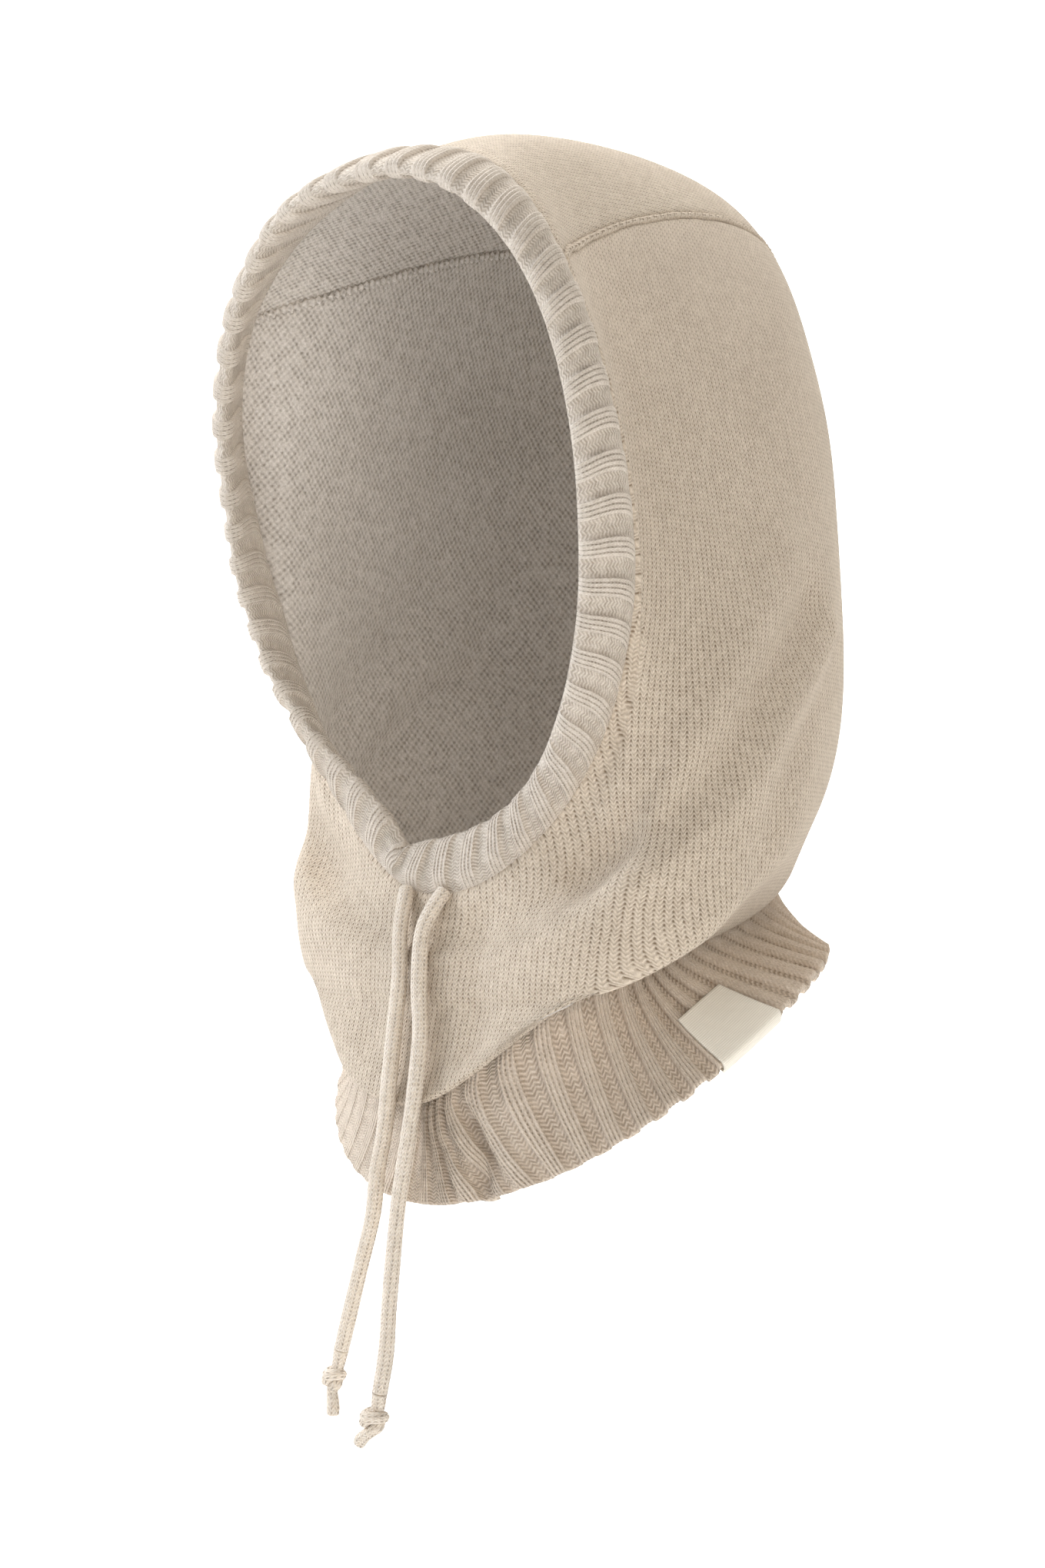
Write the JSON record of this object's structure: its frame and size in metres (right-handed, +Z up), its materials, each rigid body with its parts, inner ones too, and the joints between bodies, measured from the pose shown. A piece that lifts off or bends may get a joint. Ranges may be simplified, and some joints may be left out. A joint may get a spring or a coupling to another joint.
{
  "type": "knit hood",
  "caption": "Knitted hood with a padded ribbed face band, a ribbed neck edge, a small bare label and two knotted tie cords under the chin.",
  "frame": {"origin": "inside of the crown, where the hood rests on top of the head", "axes": "+Z up, the wearer faces -Y, +X is the wearer's left"},
  "size_m": [0.2065, 0.2248, 0.4728],
  "materials": {
    "stockinette": "soft wool knit",
    "band_rib": "soft wool rib",
    "neck_rib": "soft wool rib",
    "cord": "knitted wool cord",
    "label": "woven tape"
  },
  "bodies": {
    "root": {"body_panel": "stockinette", "crown_panel": "stockinette", "face_band": "band_rib", "neck_rib": "neck_rib", "woven_label": "label", "tie_cord_left": "cord", "tie_knot_left": "cord", "tie_cord_right": "cord", "tie_knot_right": "cord"}
  },
  "joints": []
}
